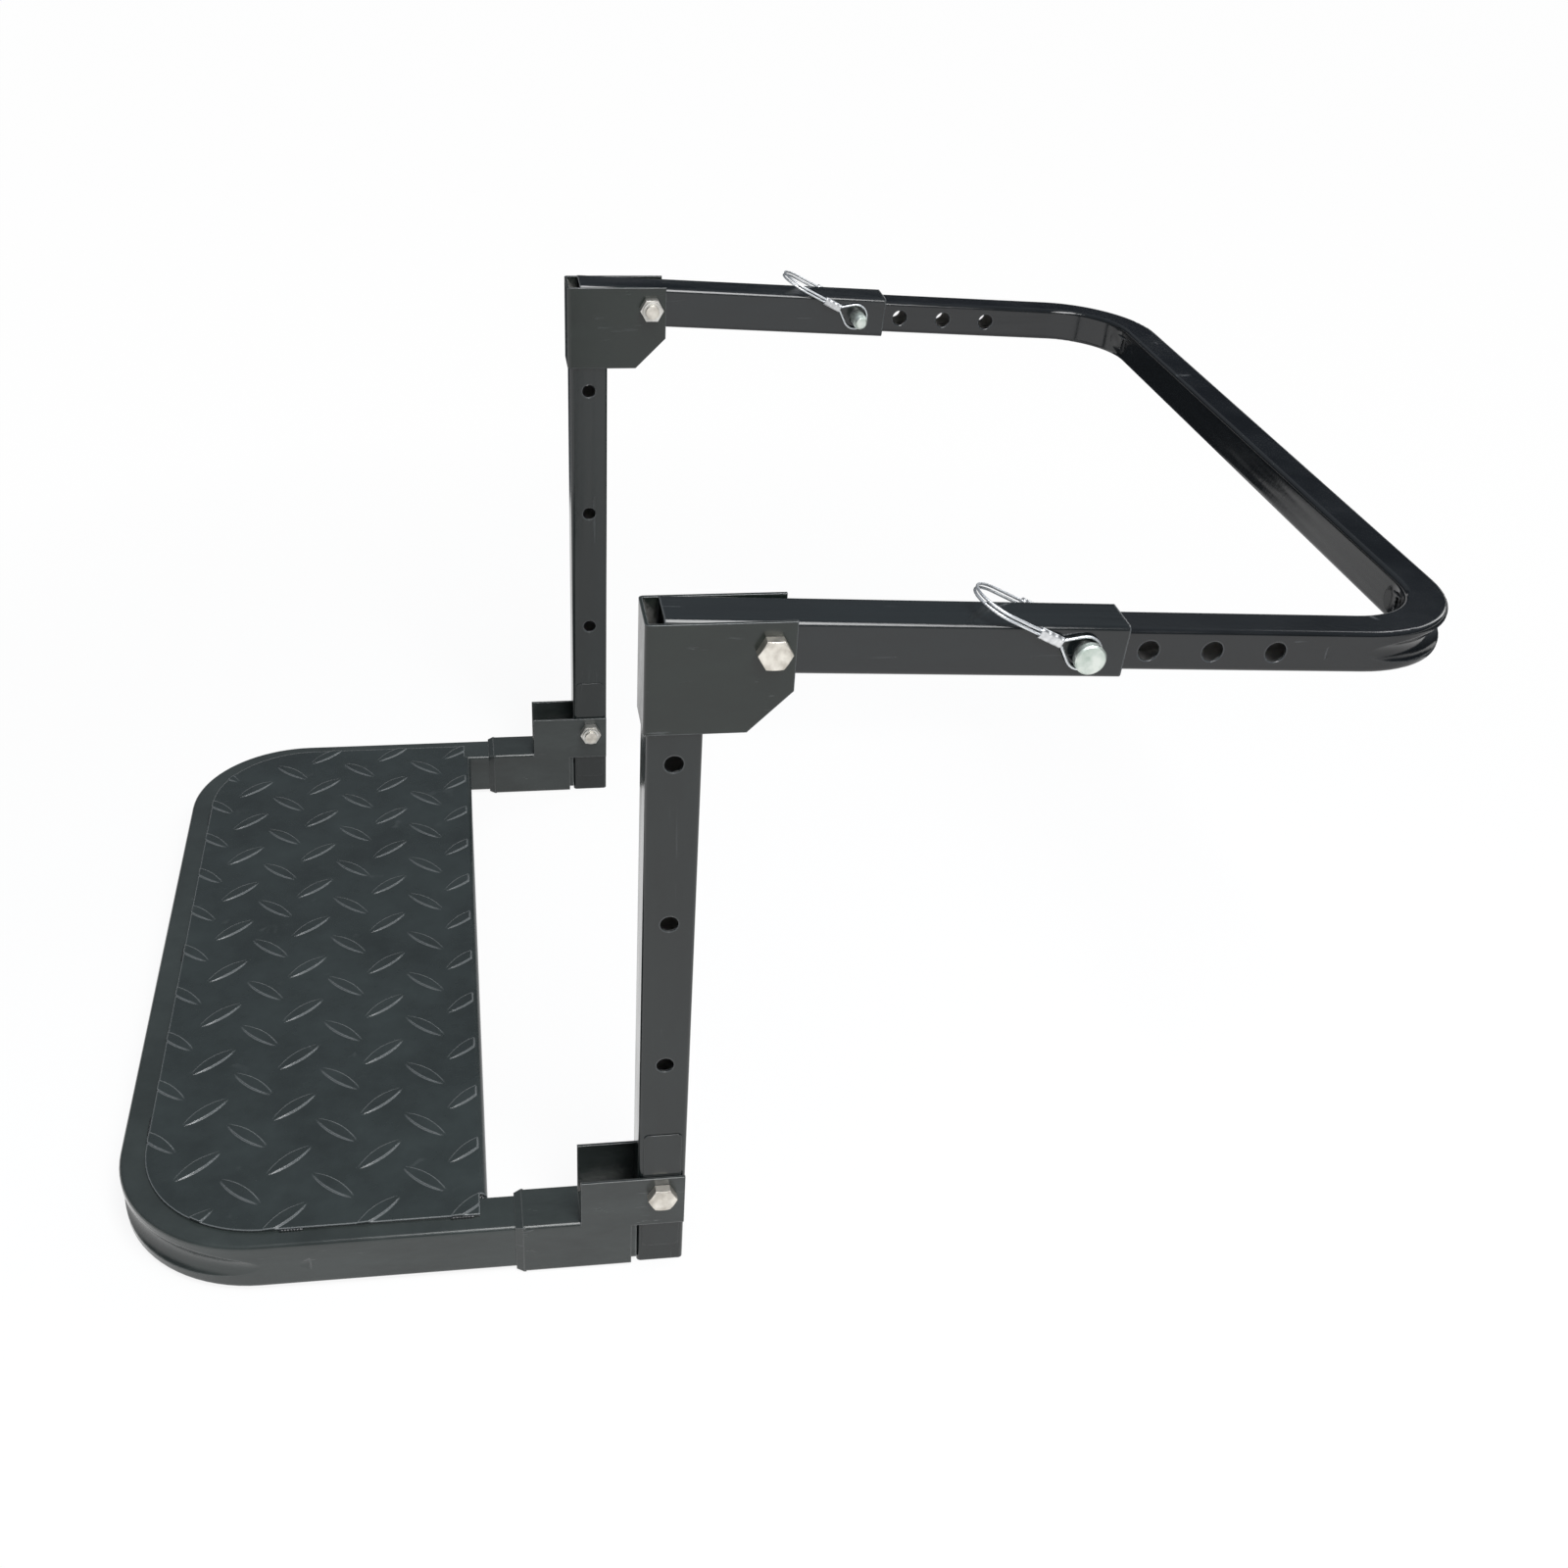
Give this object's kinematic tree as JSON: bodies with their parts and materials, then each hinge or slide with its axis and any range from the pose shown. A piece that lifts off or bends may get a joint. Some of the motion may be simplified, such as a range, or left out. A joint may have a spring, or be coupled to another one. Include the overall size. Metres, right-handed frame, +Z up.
{
  "type": "tire step",
  "caption": "Folding work step that hangs from a vehicle's tire: bent tube arms over the tread, two uprights and a fold-up diamond tread platform.",
  "frame": {"origin": "on the floor plane, under the middle of the part's bounding box", "axes": "+X from the platform towards the tire hoop, +Y along the pivot axes towards the far side, +Z up"},
  "size_m": [0.8442, 0.6662, 0.4942],
  "materials": {
    "frame_coat": "gloss black powder coat",
    "tread_coat": "gloss black powder coat on diamond plate",
    "zinc": "cream zinc plate",
    "pin_steel": "bright zinc plate",
    "cable": "stranded wire",
    "ferrule": "crimped, satin"
  },
  "bodies": {
    "uprights": {"near_upright": "frame_coat", "far_upright": "frame_coat", "near_upper_bracket": "frame_coat", "far_upper_bracket": "frame_coat", "near_outer_pad": "frame_coat", "near_inner_pad": "frame_coat", "far_outer_pad": "frame_coat", "far_inner_pad": "frame_coat", "near_upper_bolt": "zinc", "far_upper_bolt": "zinc", "near_lower_bolt": "zinc", "far_lower_bolt": "zinc", "near_upper_nut": "zinc", "far_upper_nut": "zinc", "near_lower_nut": "zinc", "far_lower_nut": "zinc"},
    "step": {"step_frame": "frame_coat", "tread_plate": "tread_coat", "near_lower_bracket": "frame_coat", "far_lower_bracket": "frame_coat"},
    "hoop_arms": {"near_arm": "frame_coat", "far_arm": "frame_coat", "hoop": "frame_coat", "near_pin": "pin_steel", "far_pin": "pin_steel"},
    "near_bail": {"near_lanyard": "cable", "near_ferrules": "ferrule"},
    "far_bail": {"far_lanyard": "cable", "far_ferrules": "ferrule"}
  },
  "joints": [
    {"name": "step_fold", "type": "hinge", "parent": "uprights", "child": "step", "pos_m": [-0.05414, 0, 0.066], "axis": [0, 1, 0], "range_deg": [0, 90]},
    {"name": "hoop_fold", "type": "hinge", "parent": "uprights", "child": "hoop_arms", "pos_m": [-0.00214, 0, 0.4695], "axis": [0, 1, 0], "range_deg": [-2.7, 87.3]},
    {"name": "near_bail_swing", "type": "hinge", "parent": "hoop_arms", "child": "near_bail", "pos_m": [0.17416, -0.307, 0.46119], "axis": [0, 1, 0], "range_deg": [-5, 138]},
    {"name": "far_bail_swing", "type": "hinge", "parent": "hoop_arms", "child": "far_bail", "pos_m": [0.17416, 0.307, 0.46119], "axis": [0, 1, 0], "range_deg": [-5, 138]}
  ]
}
